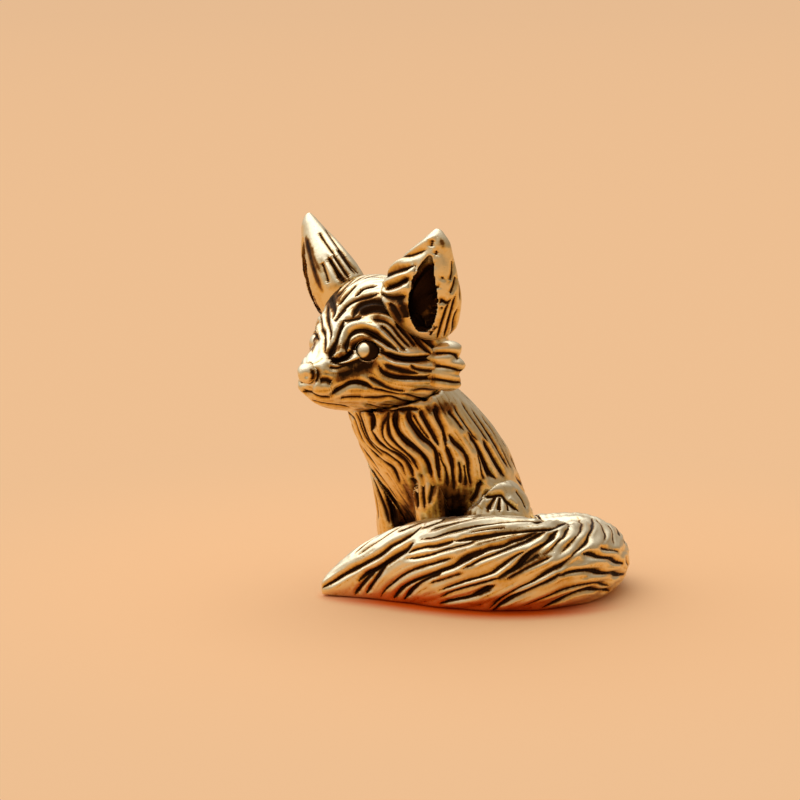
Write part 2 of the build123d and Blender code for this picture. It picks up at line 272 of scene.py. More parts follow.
# Dark lines of the face, and the ridges round the eye and mouth
FACE_CUTS = [
    cut(6, 331, 358, 339, 360, 347, 357, 352, 350),
    cut(4, 351, 351, 356, 344, 363, 341, 371, 342, 378, 347, 384, 352),
    cut(5, 381, 353, 393, 357, 405, 359, 420, 359, 433, 358, 445, 357),
    cut(3, 346, 354, 347, 342, 350, 334, 356, 330, 363, 329, 370, 331, 377, 335, 384, 340, 391, 346,
        399, 352),
    cut(5, 330, 358, 332, 348, 336, 337, 340, 327, 344, 321),
    cut(2.5, 344, 321, 352, 319, 362, 318),
    cut(2.5, 381, 325, 388, 331, 394, 338, 400, 345, 406, 351),
    cut(2, 372, 319, 384, 321, 392, 326, 398, 334, 404, 341, 411, 348),
    cut(2.5, 396, 322, 403, 331, 410, 339, 416, 346),
    cut(3, 405, 319, 411, 331, 417, 340, 425, 348, 432, 354),
    cut(3, 416, 326, 422, 336, 430, 343, 438, 350),
    cut(3, 352, 318, 358, 306, 370, 301, 384, 302, 396, 307, 406, 313),
    cut(2.5, 360, 314, 376, 309, 390, 312, 402, 317),
    cut(2.5, 338, 305, 343, 298, 349, 291, 356, 284),
    cut(3, 337, 316, 343, 308, 350, 302, 359, 298, 368, 296, 378, 293),
    cut(3, 355, 296, 361, 289, 368, 286, 377, 285),
    cut(2, 337, 297, 342, 290, 348, 283, 355, 278),
    cut(2, 331, 298, 334, 310, 333, 320),
    cut(2, 323, 308, 322, 322, 325, 338, 326, 354),
    cut(2, 327, 306, 328, 320, 331, 333, 330, 343),
    cut(2, 317, 312, 316, 326, 319, 340),
    cut(2, 334, 322, 340, 314, 346, 308),
    cut(2, 329, 367, 338, 368, 346, 366, 354, 367),
    cut(2, 333, 363, 345, 365, 357, 364, 367, 361, 378, 358),
    cut(3.5, 379, 369, 383, 374, 395, 378, 412, 379, 428, 379, 439, 375),
    cut(2, 384, 366, 396, 369, 408, 372, 420, 374),
    cut(2, 410, 364, 416, 369, 427, 371, 436, 371),
    cut(4.5, 333, 394, 341, 389, 349, 384, 357, 383, 365, 385, 372, 388),
    cut(2.5, 372, 388, 384, 391, 396, 394, 410, 397, 424, 399),
    cut(2, 368, 378, 377, 382, 386, 387, 396, 390, 406, 391),
    cut(2.5, 302, 392, 311, 393, 321, 397, 331, 397),
    cut(3, 413, 391, 426, 391, 440, 392, 453, 393),
    cut(2, 340, 399, 352, 398, 364, 398),
    cut(2.5, 361, 398, 376, 399, 391, 398, 403, 402, 420, 405, 438, 405),
    cut(2, 366, 404, 378, 408, 390, 409),
    cut(2, 310, 401, 322, 404, 336, 406, 350, 408),
    cut(2, 312, 368, 317, 371, 318, 376, 314, 382),
    cut(2, 319, 381, 326, 380, 332, 383),
    cut(3, 434, 349, 441, 354, 449, 354),
    cut(3, 440, 372, 446, 374, 454, 376),
]
FACE_SWELLS = [
    soft(8, 0.3, 349, 350, 351, 341, 357, 336, 364, 334, 372, 337, 380, 342, 388, 347, 397, 352,
        410, 355, 424, 355),
    soft(9, 0.24, 341, 348, 343, 336, 348, 328, 356, 324, 364, 323, 373, 326, 382, 331, 390, 338,
        398, 345, 406, 350),
    soft(4, 0.16, 336, 362, 346, 363, 356, 362, 366, 360, 376, 357, 384, 358),
    soft(8, 0.2, 338, 391, 347, 382, 357, 379, 366, 381, 376, 386, 390, 390, 410, 393),
    soft(14, 0.25, 313, 388, 322, 391, 332, 389),
    soft(3, 0.12, 377, 372, 384, 376, 400, 381, 423, 382, 437, 381),
    soft(13, 0.14, 322, 372, 325, 355, 328, 340, 331, 325, 337, 310),
    soft(6, 0.12, 388, 364, 410, 364, 428, 367, 438, 366),
]
# Dark patches of the face: patina, and painted shade under the brows and jaw and at the foot of the ear
FACE_STAINS_AND_SHADE = [
    soft(20, 0.85, 356, 311, 370, 305, 384, 307, 400, 313),
    soft(12, 0.75, 337, 379, 348, 374, 362, 370, 374, 366),
    soft(10, 0.45, 384, 369, 398, 372, 412, 374),
    soft(8, 0.5, 339, 352, 344, 356),
    soft(9, 0.25, 396, 330, 408, 342, 420, 350),
    soft(20, 0.85, 396, 316, 412, 325, 428, 339),
    soft(7, 0.3, 319, 381, 326, 380, 332, 383),
    soft(5, 1.0, 311, 370, 314, 375, 312, 381),
    soft(10, 0.5, 314, 350, 316, 336, 315, 322),
    soft(9, 0.4, 398, 404, 416, 406, 434, 408),
    soft(16, 1.0, 401, 305, 406, 313, 412, 324),
    soft(6, 0.25, 350, 392, 362, 391),
]

# Lines between the rounded tufts of the cheek
RUFF_CUTS = [
    cut(3, 434, 354, 445, 353, 453, 354, 460, 358),
    cut(3, 434, 366, 445, 367, 453, 369, 464, 373),
    cut(3, 434, 380, 449, 382, 464, 382),
]
RUFF_STAINS = [
    soft(7, 0.25, 434, 346, 435, 358, 436, 370, 436, 386),
]

# Dark lines of the near ear and of what shows of the far one
EAR_CUTS = [
    cut(3.5, 380, 286, 383, 279, 390, 273, 399, 270, 408, 268, 415, 266),
    cut(3.5, 387, 289, 396, 285, 404, 281, 409, 278),
    cut(3, 381, 294, 390, 298, 400, 298, 405, 296),
    cut(2.5, 388, 304, 394, 310, 400, 320),
    cut(2, 398, 260, 408, 256, 417, 253, 426, 250),
    cut(2, 436, 279, 443, 277),
    cut(2.5, 435, 304, 441, 301, 447, 303, 452, 299),
    cut(2.5, 431, 311, 437, 310, 442, 307),
    cut(2.5, 428, 318, 435, 317, 441, 313),
    cut(2.5, 425, 324, 433, 323, 439, 320),
    cut(2.5, 425, 330, 432, 331, 438, 327),
    cut(2.5, 437, 339, 441, 326, 445, 313, 449, 302),
    cut(2.5, 444, 337, 449, 322, 453, 308, 456, 295),
    cut(2, 450, 335, 454, 322, 458, 308),
    cut(2, 453, 260, 453, 271, 450, 281),
    cut(2, 456, 276, 454, 286, 450, 294),
    cut(1.5, 432, 239, 431, 248),
    cut(1.5, 437, 250, 435, 256),
]
EAR_SWELLS = [
    soft(7, 0.2, 381, 284, 391, 269, 405, 257, 420, 246, 436, 235),
    soft(9, 0.3, 384, 285, 395, 279, 408, 273, 419, 267),
    soft(9, 0.35, 382, 292, 393, 292, 404, 288, 414, 281),
    soft(10, 0.1, 441, 325, 444, 305, 444, 285, 442, 265, 440, 255),
]
# Dark patches of the near ear: patina, and painted shade in its hollow
EAR_STAINS_AND_SHADE = [
    soft(17, 0.8, 391, 305, 395, 313, 401, 324),
    soft(13, 1.0, 429, 266, 427, 282, 423, 300, 419, 316),
    soft(14, 1.0, 418, 284, 414, 300, 414, 312),
    soft(6, 0.7, 432, 264, 433, 280, 430, 303),
    soft(8, 0.9, 398, 302, 406, 306),
    soft(16, 1.0, 401, 305, 406, 313, 412, 324),
    soft(6, 0.75, 441, 239, 443, 246),
]
FAR_EAR_CUTS = [
    cut(3.5, 328, 257, 334, 268, 340, 280),
    cut(2.5, 333, 254, 341, 266, 348, 278),
    cut(2.5, 338, 248, 346, 260, 354, 273),
    cut(2, 321, 262, 324, 274, 326, 284),
    cut(2, 319, 232, 327, 244, 335, 255),
    cut(2, 326, 229, 336, 243, 346, 257),
    cut(2, 331, 263, 338, 274, 343, 283),
    cut(2, 343, 254, 351, 265, 358, 274),
]
FAR_EAR_STAINS = [
    soft(9, 0.85, 306, 238, 310, 254, 314, 272, 319, 290),
    soft(6, 0.6, 311, 246, 314, 258, 319, 272),
    soft(7, 0.6, 336, 274, 342, 281),
    soft(6, 0.35, 326, 289, 344, 281, 362, 272),
]

# Dark lines of the tail, from its root on the right to its tip on the left
TAIL_CUTS = [
    cut(1.6, 412, 517, 404, 520, 394, 524, 382, 531, 370, 539, 360, 547, 352, 555),
    cut(1.2, 404, 524, 393, 530, 380, 539, 368, 547, 356, 556),
    cut(3.6, 421, 526, 413, 532, 400, 540, 391, 545, 380, 554, 370, 560, 357, 567, 344, 574, 332, 582,
        322, 588),
    cut(2.4, 480, 511, 463, 512, 451, 516, 441, 519, 429, 524, 421, 528),
    cut(2.8, 478, 516, 462, 519, 448, 523, 437, 526, 430, 530),
    cut(3.2, 556, 520, 543, 519, 529, 519, 509, 520, 490, 522, 476, 524, 463, 527, 448, 531, 435, 536,
        421, 539),
    cut(1.6, 508, 527, 495, 528, 480, 530, 466, 533),
    cut(4, 566, 522, 554, 526, 546, 528, 530, 529, 516, 530, 500, 532, 484, 535, 468, 538, 456, 541),
    cut(2.4, 456, 540, 446, 543, 435, 546, 425, 547, 414, 550, 405, 554),
    cut(2, 478, 539, 464, 544, 452, 547, 442, 550, 431, 554, 419, 557, 406, 559),
    cut(4.8, 412, 543, 404, 550, 395, 556, 385, 563, 376, 569, 366, 574, 359, 581),
    cut(3.2, 374, 572, 367, 578, 361, 586, 355, 595),
    cut(3.2, 386, 563, 381, 570, 376, 578, 371, 586, 366, 594),
    cut(2, 454, 558, 446, 560, 433, 564, 422, 567, 411, 571, 402, 576, 393, 583, 385, 590, 380, 598),
    cut(4, 480, 551, 472, 555, 462, 560, 452, 566, 442, 570, 432, 574, 422, 578, 411, 583, 402, 589,
        394, 598),
    cut(3.2, 440, 574, 428, 579, 418, 585, 410, 592, 404, 600),
    cut(2.4, 527, 550, 518, 555, 509, 561, 500, 567, 491, 573, 480, 577, 466, 581, 452, 586, 438, 591),
    cut(2.4, 499, 578, 489, 582, 478, 585, 464, 589, 452, 593, 440, 598),
    cut(4, 558, 530, 552, 536, 545, 543, 536, 550, 527, 557, 518, 565, 509, 572, 498, 579),
    cut(3.6, 494, 586, 486, 590, 478, 594, 469, 598, 456, 601, 440, 604),
    cut(2.4, 538, 531, 524, 538, 514, 541, 502, 546, 488, 549, 476, 555, 465, 560),
    cut(2.4, 548, 530, 530, 539, 520, 543, 507, 548, 493, 554, 481, 559, 471, 565, 462, 569),
    cut(2, 552, 556, 540, 562, 528, 568, 516, 575, 506, 580),
    cut(1.6, 540, 554, 530, 560, 520, 567, 510, 574),
    cut(2.4, 573, 555, 564, 564, 554, 569, 545, 574, 532, 582, 520, 588, 509, 595, 498, 602, 489, 609),
    cut(3.6, 560, 574, 550, 582, 540, 587, 527, 593, 514, 598, 502, 605, 493, 611),
    cut(3.6, 625, 575, 613, 574, 599, 572, 586, 571, 571, 572, 560, 576),
    cut(2, 610, 586, 598, 584, 586, 585, 574, 587, 561, 591, 549, 597, 535, 603, 520, 608),
    cut(3.2, 610, 591, 594, 590, 581, 592, 568, 597, 556, 603, 543, 608),
    cut(3.6, 583, 554, 593, 554, 603, 556, 613, 559, 624, 564),
    cut(1.6, 577, 516, 582, 523, 580, 531, 573, 541, 565, 549, 557, 557),
    cut(2.4, 592, 517, 592, 529, 588, 540, 580, 548, 574, 554, 568, 562),
    cut(1.6, 596, 518, 603, 526, 606, 535, 603, 543),
    cut(1.6, 608, 524, 614, 534, 614, 544),
    cut(2, 572, 522, 566, 532, 559, 541, 553, 548, 545, 555),
    cut(1.6, 626, 557, 629, 568, 626, 582),
    cut(1.6, 428, 584, 440, 581, 452, 577, 464, 573),
    cut(1.6, 600, 548, 610, 549, 620, 552),
]
TAIL_STAINS = [
    soft(12, 0.39, 546, 529, 525, 534, 500, 538, 478, 543, 462, 549),
    soft(8, 0.33, 484, 550, 470, 554, 458, 560),
    soft(12, 0.39, 548, 548, 534, 560, 518, 570, 502, 580),
    soft(9, 0.36, 404, 551, 390, 561, 376, 572, 364, 584),
    soft(6, 0.16, 346, 575, 360, 567),
    soft(9, 0.33, 490, 590, 476, 596),
    soft(8, 0.26, 440, 574, 430, 577),
    soft(7, 0.26, 470, 604, 482, 606),
]


class FoxView(bpy.types.PropertyGroup):
    """The photograph's viewing place."""

    azimuth: FloatProperty(
        name="Azimuth", description="Turn of the camera round the fox",
        default=math.radians(48), subtype="ANGLE",
    )
    elevation: FloatProperty(
        name="Elevation", description="Height of the camera's line of sight",
        default=math.radians(10), subtype="ANGLE",
    )
    distance: FloatProperty(
        name="Distance", description="From the camera to the point it looks at",
        default=240 * MM, unit="LENGTH",
    )
    frame_width: FloatProperty(
        name="Frame width", description="Width seen at that distance", default=67.8 * MM, unit="LENGTH"
    )
    aside: FloatProperty(
        name="Aside", description="The point looked at, to the right of the origin",
        default=-4.66 * MM, unit="LENGTH",
    )
    above: FloatProperty(
        name="Above", description="The point looked at, above the origin in the picture",
        default=15.17 * MM, unit="LENGTH",
    )


class FoxFinish(bpy.types.PropertyGroup):
    """The metal, its patina, and the painted shade and highlights on it."""

    brass: FloatVectorProperty(
        name="Brass", description="Rubbed metal on the high spots",
        default=(0.78, 0.50, 0.11), subtype="COLOR",
    )
    bronze: FloatVectorProperty(
        name="Tarnish", description="Metal half way into the grooves",
        default=(0.27, 0.11, 0.024), subtype="COLOR",
    )
    # Darkest colour: patina in the grooves, also used for painted shade
    patina_and_shade: FloatVectorProperty(
        name="Patina", description="Dark oxide left in the grooves",
        default=(0.03, 0.013, 0.005), subtype="COLOR",
    )
    bright: FloatVectorProperty(
        name="Bright", description="Polished metal on the crests",
        default=(0.88, 0.70, 0.36), subtype="COLOR",
    )
    # Painted highlight: the colour that tops facing the light are paled toward
    painted_highlight: FloatVectorProperty(
        name="Pale", description="Metal of the tops, which are rubbed most",
        default=(0.88, 0.79, 0.59), subtype="COLOR",
    )
    polish: FloatProperty(
        name="Polish", description="Roughness of the rubbed metal", default=0.34, subtype="FACTOR"
    )
    dullness: FloatProperty(
        name="Dullness", description="Roughness of the patina", default=0.55, subtype="FACTOR"
    )
    pit_size: FloatProperty(
        name="Pits", description="Size of the casting pits", default=0.25 * MM, unit="LENGTH"
    )


class FoxStage(bpy.types.PropertyGroup):
    """Floor, backdrop and light."""

    floor: FloatVectorProperty(
        name="Floor", description="Colour of the floor and backdrop",
        default=(0.86, 0.525, 0.285), subtype="COLOR",
    )
    # Painted bounce light and contact shade: the floor close under the brass turns this colour
    painted_glow: FloatVectorProperty(
        name="Glow", description="Colour of the floor right under the brass",
        default=(0.72, 0.11, 0.005), subtype="COLOR",
    )
    glow_place: FloatVectorProperty(
        name="Glow place", description="Middle of the glow under the tail",
        default=(0.0085, -0.0075, 0.0), subtype="XYZ",
    )
    backdrop: FloatVectorProperty(
        name="Backdrop", description="Colour of the floor far behind",
        default=(0.80, 0.50, 0.283), subtype="COLOR",
    )
    key: FloatVectorProperty(
        name="Key", description="Direction that the light mostly comes from",
        default=(-0.4, -0.1, 0.9), subtype="XYZ",
    )
    window: FloatVectorProperty(
        name="Window", description="Side that is lighter than the other",
        default=(-0.67, -0.74, 0.1), subtype="XYZ",
    )
    sky: FloatProperty(
        name="Sky", description="Strength of the light from above", default=1.0
    )
    lamp: FloatProperty(
        name="Lamp", description="Power of the soft lamp overhead", default=2.05, unit="POWER"
    )


class PhotoView:
    """Turns pixels of the photograph into lines of sight, in millimetres."""

    def __init__(self, view):
        turn, tilt = view.azimuth, view.elevation
        self.right = np.array((math.cos(turn), math.sin(turn), 0.0))
        self.toward = np.array(
            (math.sin(turn) * math.cos(tilt), -math.cos(turn) * math.cos(tilt), math.sin(tilt))
        )
        self.up = np.cross(self.toward, self.right)
        self.distance = view.distance / MM
        self.pixel = view.frame_width / MM / PHOTO_SIZE
        self.target = self.right * view.aside / MM + self.up * view.above / MM
        self.eye = self.target + self.toward * self.distance

    def sight(self, x, y):
        """Direction from the camera through a pixel."""
        middle = PHOTO_SIZE / 2
        line = self.right * (x - middle) * self.pixel + self.up * (middle - y) * self.pixel
        line -= self.toward * self.distance
        return line / np.linalg.norm(line)


def select_only(obj):
    """Makes one object the selected and active one."""
    bpy.ops.object.select_all(action="DESELECT")
    obj.select_set(True)
    bpy.context.view_layer.objects.active = obj


def fine_copy(name, nodes, grain, rounds):
    """A closed, even copy of some nodes in millimetres, its edges softened by a number of rounds."""
    copies = []
    for node in nodes:
        copy = bpy.data.objects.new(name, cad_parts[node].data.copy())
        bpy.context.scene.collection.objects.link(copy)
        copy.data.transform(Matrix.Scale(1 / MM, 4))
        copies.append(copy)
    select_only(copies[0])
    for copy in copies:
        copy.select_set(True)
    if len(copies) > 1:
        bpy.ops.object.join()
    piece = bpy.context.view_layer.objects.active
    select_only(piece)
    bpy.ops.object.mode_set(mode="EDIT")
    bpy.ops.mesh.select_all(action="SELECT")
    bpy.ops.mesh.remove_doubles(threshold=1e-5)
    bpy.ops.object.mode_set(mode="OBJECT")
    remesh = piece.modifiers.new("Even mesh", "REMESH")
    remesh.mode = "VOXEL"
    remesh.voxel_size = grain
    bpy.ops.object.modifier_apply(modifier=remesh.name)
    soften(piece, rounds)
    return piece


def soften(piece, rounds):
    """Smooths a piece a number of times."""
    select_only(piece)
    smooth = piece.modifiers.new("Soft edges", "SMOOTH")
    smooth.factor = 0.5
    smooth.iterations = rounds
    bpy.ops.object.modifier_apply(modifier=smooth.name)


def mesh_array(mesh, what):
    """Vertex places or normals as an array of rows."""
    rows = np.empty(len(mesh.vertices) * 3, np.float32)
    mesh.vertices.foreach_get(what, rows)
    return rows.reshape(-1, 3).astype(float)


def search_tree(mesh):
    """Tree to find places on a mesh with."""
    faces = [tuple(face.vertices) for face in mesh.polygons]
    return BVHTree.FromPolygons([vertex.co.copy() for vertex in mesh.vertices], faces)


class Skin:
    """The outside of some nodes together, to lay lines on."""

    def __init__(self, *nodes, rounds):
        piece = fine_copy("skin", nodes, SKIN_GRAIN, rounds)
        mesh = piece.data
        self.tree = search_tree(mesh)
        bpy.data.objects.remove(piece)
        bpy.data.meshes.remove(mesh)

    def nearest(self, point):
        """Closest place on the skin, and the normal there."""
        place, normal, _, _ = self.tree.find_nearest(Vector(point))
        return np.array(place), np.array(normal)

    def seen(self, view, x, y):
        """Place on the skin under a pixel of the photograph, or the closest one to its line of sight."""
        line = view.sight(x, y)
        place, _, _, _ = self.tree.ray_cast(Vector(view.eye), Vector(line))
        if place is not None:
            return np.array(place)
        depths = np.linspace(view.distance - SEARCH_DEPTH, view.distance + SEARCH_DEPTH, SEARCH_STEPS)
        tries = [self.tree.find_nearest(Vector(view.eye + line * depth)) for depth in depths]
        return np.array(min(tries, key=lambda found: found[3])[0])


def smooth_run(points, step):
    """Points at an even step along a smooth curve through the given ones."""
    points = np.asarray(points, float)
    ends = np.vstack((2 * points[0] - points[1], points, 2 * points[-1] - points[-2]))
    run = []
    for before, start, end, after in zip(ends[:-3], ends[1:-2], ends[2:-1], ends[3:]):
        count = max(2, int(np.linalg.norm(end - start) / step * 2))
        share = np.linspace(0, 1, count, endpoint=False)[:, None]
        bend = 2 * before - 5 * start + 4 * end - after
        twist = 3 * start - before - 3 * end + after
        run.append(0.5 * (2 * start + (end - before) * share + bend * share**2 + twist * share**3))
    run.append(points[-1:])
    run = np.vstack(run)
    reach = np.concatenate(([0], np.cumsum(np.linalg.norm(np.diff(run, axis=0), axis=1))))
    even = np.linspace(0, reach[-1], max(3, int(reach[-1] / step) + 1))
    return np.stack([np.interp(even, reach, run[:, axis]) for axis in range(3)], axis=1)


def lay_line(skin, points, half, amount, fade=CUT_FADE):
    """Lays a line on a skin along some points, thinning to a share of itself at both ends."""
    placed = [skin.nearest(point) for point in points]
    places = np.array([place for place, _ in placed])
    normals = np.array([normal for _, normal in placed])
    along = np.gradient(places, axis=0)
    along /= np.linalg.norm(along, axis=1)[:, None] + 1e-9
    share = np.linspace(0, 1, len(places))
    taper = np.interp(share, TAPER_PLACES, (fade, 1, 1, fade))
    return Line(places, normals, along, half * (0.4 + 0.6 * taper), amount * taper)


def drawn_lines(skin, view, strokes, fade=CUT_FADE):
    """Lays strokes of the photograph on a skin, thinning to a share of themselves at both ends."""
    lines = []
    for stroke in strokes:
        points = [skin.seen(view, x, y) for x, y in stroke.path]
        half = stroke.width / 2 * view.pixel
        lines.append(lay_line(skin, smooth_run(points, STEP), half, stroke.amount, fade))
    return lines


def mirrored(skin, lines, view=None):
    """The same lines on the other side of the middle plane: all, or those that a view doesn't see."""
    flip = np.array((-1, 1, 1))
    twins = []
    for line in lines:
        placed = [skin.nearest(point * flip) for point in line.points]
        places = np.array([place for place, _ in placed])
        normals = np.array([normal for _, normal in placed])
        kept = np.abs(places[:, 0]) > MIDDLE_GAP
        if view:
            kept &= normals @ view.toward < HIDDEN_FACING
        if kept.sum() > 3:
            whole = (places, normals, line.along * flip, line.halves, line.amounts)
            twins.append(Line(*(values[kept] for values in whole)))
    return twins


class Flow:
    """The run of the fur: that of the drawn lines close by, and a plain lie further off."""

    def __init__(self, lines, lie):
        self.points = np.vstack([line.points[::3] for line in lines])
        self.along = np.vstack([line.along[::3] for line in lines])
        self.normals = np.vstack([line.normals[::3] for line in lines])
        self.lie = lie

    def at(self, point, normal):
        """Direction along the skin at a point, the same way as the plain lie."""
        lie = self.lie(point, normal)
        gap = ((self.points - point) ** 2).sum(1)
        pull = np.clip(self.normals @ normal, 0, 1) / (gap + 0.05) ** 1.5
        pull = np.where(self.along @ lie < 0, -pull, pull)
        course = pull @ self.along + LIE_PULL * lie
        course = course - normal * (course @ normal)
        return course / (np.linalg.norm(course) + 1e-9)


class Taken:
    """Room already held by lines, in cells of one size."""

    def __init__(self, cell):
        self.cell = cell
        self.cells = {}

    def key(self, point):
        """Cell that a point lies in."""
        return tuple(int(math.floor(value / self.cell)) for value in point)

    def add(self, points):
        """Holds the room at some points."""
        for point in points:
            self.cells.setdefault(self.key(point), []).append(point)

    def near(self, point, room):
        """Whether a held point lies closer than the room."""
        column, row, level = self.key(point)
        for a in (column - 1, column, column + 1):
            for b in (row - 1, row, row + 1):
                for c in (level - 1, level, level + 1):
                    for held in self.cells.get((a, b, c), ()):
                        gap = held - point
                        if gap @ gap < room * room:
                            return True
        return False


class Growth(NamedTuple):
    """How lines are grown, in mm, and the least and most that they may face the camera."""

    spacing: float
    lengths: tuple
    half: float
    depth: float
    facing: tuple


HIDDEN_LOCKS = Growth(spacing=1.0, lengths=(4.0, 9.0), half=0.12, depth=0.2, facing=(-1.0, 0.1))
STRANDS = Growth(spacing=0.55, lengths=(3.0, 8.0), half=0.05, depth=0.055, facing=(0.0, 1.0))


def run_line(skin, flow, start, taken, spacing, length):
    """Points of a line that follows the flow both ways from its start, until it meets another."""
    halves = []
    for way in (1, -1):
        place, normal = start
        points = []
        for _ in range(int(length / 2 / STEP)):
            place, normal = skin.nearest(place + flow.at(place, normal) * way * STEP)
            if place[2] < LINE_FLOOR or taken.near(place, spacing * 0.6):
                break
            points.append(place)
        halves.append(points)
    return halves[1][::-1] + [start[0]] + halves[0]


def grown_lines(skin, flow, drawn, growth, draws, view):
    """Fills what the drawn lines leave bare with cuts side by side."""
    spacing = growth.spacing
    taken = Taken(spacing)
    for line in drawn:
        taken.add(line.points[::2])
    waiting = list(drawn)
    grown = []
    while waiting:
        parent = waiting.pop(0)
        for index in range(0, len(parent.points), 4):
            across = np.cross(parent.normals[index], parent.along[index])
            for side in (1, -1):
                start = skin.nearest(parent.points[index] + across * side * spacing)
                facing = start[1] @ view.toward
                if start[0][2] < START_FLOOR or not growth.facing[0] <= facing <= growth.facing[1]:
                    continue
                if taken.near(start[0], spacing * 0.9):
                    continue
                points = run_line(skin, flow, start, taken, spacing, draws.uniform(*growth.lengths))
                if len(points) * STEP < spacing * 1.8:
                    continue
                half = growth.half * draws.uniform(0.8, 1.2)
                line = lay_line(skin, points, half, growth.depth * draws.uniform(0.8, 1.2))
                taken.add(line.points[::2])
                waiting.append(line)
                grown.append(line)
    return grown


def by_line(places, normals, line, reach):
    """Vertices within reach of a line, on its side of the form, with their distance and nearest point."""
    low = line.points.min(0) - reach
    high = line.points.max(0) + reach
    near = np.nonzero(((places > low) & (places < high)).all(1))[0]
    if not len(near):
        return near, np.zeros(0), near
    gaps = ((places[near][:, None, :] - line.points[None]) ** 2).sum(2)
    by = gaps.argmin(1)
    gap = np.sqrt(gaps[np.arange(len(near)), by])
    kept = (gap < reach) & ((normals[near] * line.normals[by]).sum(1) > 0.1)
    return near[kept], gap[kept], by[kept]


def cut_field(places, normals, lines):
    """Depth of the cuts at each vertex, and how dark they are there, from 0 to 1."""
    depth = np.zeros(len(places))
    dark = np.zeros(len(places))
    for line in lines:
        near, gap, by = by_line(places, normals, line, line.halves.max() + CUT_SHOULDER)
        share = np.clip(gap / (line.halves[by] + CUT_SHOULDER), 0, 1)
        depth[near] = np.maximum(depth[near], line.amounts[by] * (1 - share) ** 2)
        core = np.clip(1.0 - 0.8 * gap / line.halves[by], 0, 1) + 0.5 * (1 - share) ** 1.5
        dark[near] = np.maximum(dark[near], core * np.minimum(1, line.amounts[by] / DARK_DEPTH))
    return depth, dark


def soft_field(places, normals, lines):
    """Height or strength of soft strokes at each vertex."""
    field = np.zeros(len(places))
    for line in lines:
        near, gap, by = by_line(places, normals, line, line.halves.max() * 2.2)
        faced = np.clip((normals[near] * line.normals[by]).sum(1) * 2 - 0.2, 0, 1)
        soft = line.amounts[by] * np.exp(-((gap / line.halves[by]) ** 2))
        field[near] = np.maximum(field[near], soft * faced)
    return field


def drawn_area(places, lines, room):
    """One at vertices among the lines, falling to zero at a distance from them."""
    points = np.vstack([line.points[::2] for line in lines])
    tree = KDTree(len(points))
    for index, point in enumerate(points):
        tree.insert(point, index)
    tree.balance()
    gaps = np.array([tree.find(place)[2] for place in places])
    return np.clip((2 * room - gaps) / room, 0, 1)


class Shelter:
    """How far the whole figurine shuts each place in, seen from a coarse skin of it, for painted shade."""

    def __init__(self):
        piece = fine_copy("shell", list(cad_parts), SHELL_GRAIN, 4)
        mesh = piece.data
        places = mesh_array(mesh, "co")
        normals = mesh_array(mesh, "normal")
        tree = search_tree(mesh)
        ways = self.ways(SHELTER_WAYS)
        self.near = KDTree(len(places))
        self.shut = np.zeros(len(places))
        for index, (place, normal) in enumerate(zip(places, normals)):
            self.near.insert(place, index)
            met = 0
            tried = 0
            for way in ways:
                if way @ normal < SHELTER_RISE:
                    continue
                tried += 1
                start = Vector(place + normal * SHELTER_START)
                hit = tree.ray_cast(start, Vector(way), SHELTER_REACH)
                met += hit[0] is not None
            self.shut[index] = met / max(tried, 1)
        self.near.balance()
        bpy.data.objects.remove(piece)
        bpy.data.meshes.remove(mesh)

    @staticmethod
    def ways(count):
        """Directions spread evenly over a ball."""
        turns = np.arange(count) * math.pi * (3 - math.sqrt(5))
        level = 1 - 2 * (np.arange(count) + 0.5) / count
        flat = np.sqrt(1 - level**2)
        return np.stack((np.cos(turns) * flat, np.sin(turns) * flat, level), axis=1)

    def at(self, places):
        """Shelter at some places, from 0 in the open to 1."""
        shut = np.zeros(len(places))
        for index, place in enumerate(places):
            found = self.near.find_n(place, 3)
            shut[index] = sum(self.shut[each] for _, each, _ in found) / len(found)
        return shut


@functools.cache
def shelter_shade():
    """The one occlusion search that all the pieces share, used for their painted shade."""
    return Shelter()


def neighbour_mean(values, ends, count):
    """Mean of the values at the far ends of each vertex's edges."""
    total = np.zeros_like(values)
    for axis in range(values.shape[1]):
        total[:, axis] = np.bincount(ends[:, 0], values[ends[:, 1], axis], len(values))
        total[:, axis] += np.bincount(ends[:, 1], values[ends[:, 0], axis], len(values))
    return total / count[:, None]


def cavity(mesh, rounds):
    """How far each vertex lies below its softened surroundings, in millimetres: positive in grooves."""
    ends = np.empty(len(mesh.edges) * 2, np.int32)
    mesh.edges.foreach_get("vertices", ends)
    ends = ends.reshape(-1, 2)
    count = np.bincount(ends.ravel(), minlength=len(mesh.vertices)).clip(1)
    places = mesh_array(mesh, "co")
    soft = places.copy()
    for _ in range(rounds):
        soft = neighbour_mean(soft, ends, count)
    return ((soft - places) * mesh_array(mesh, "normal")).sum(1)


def store(mesh, name, values):
    """Keeps a value for each vertex under a name that the metal reads."""
    attribute = mesh.attributes.new(name, "FLOAT", "POINT")
    attribute.data.foreach_set("value", np.asarray(values, np.float32))


def set_places(mesh, places):
    """Moves all the vertices of a mesh."""
    mesh.vertices.foreach_set("co", places.astype(np.float32).ravel())
    mesh.update()


class Carving(NamedTuple):
    """What is carved into a piece: dark cuts, raised ridges, and dark patches of stain and painted shade.
    """

    cuts: list
    swells: list
    stains_and_shade: list


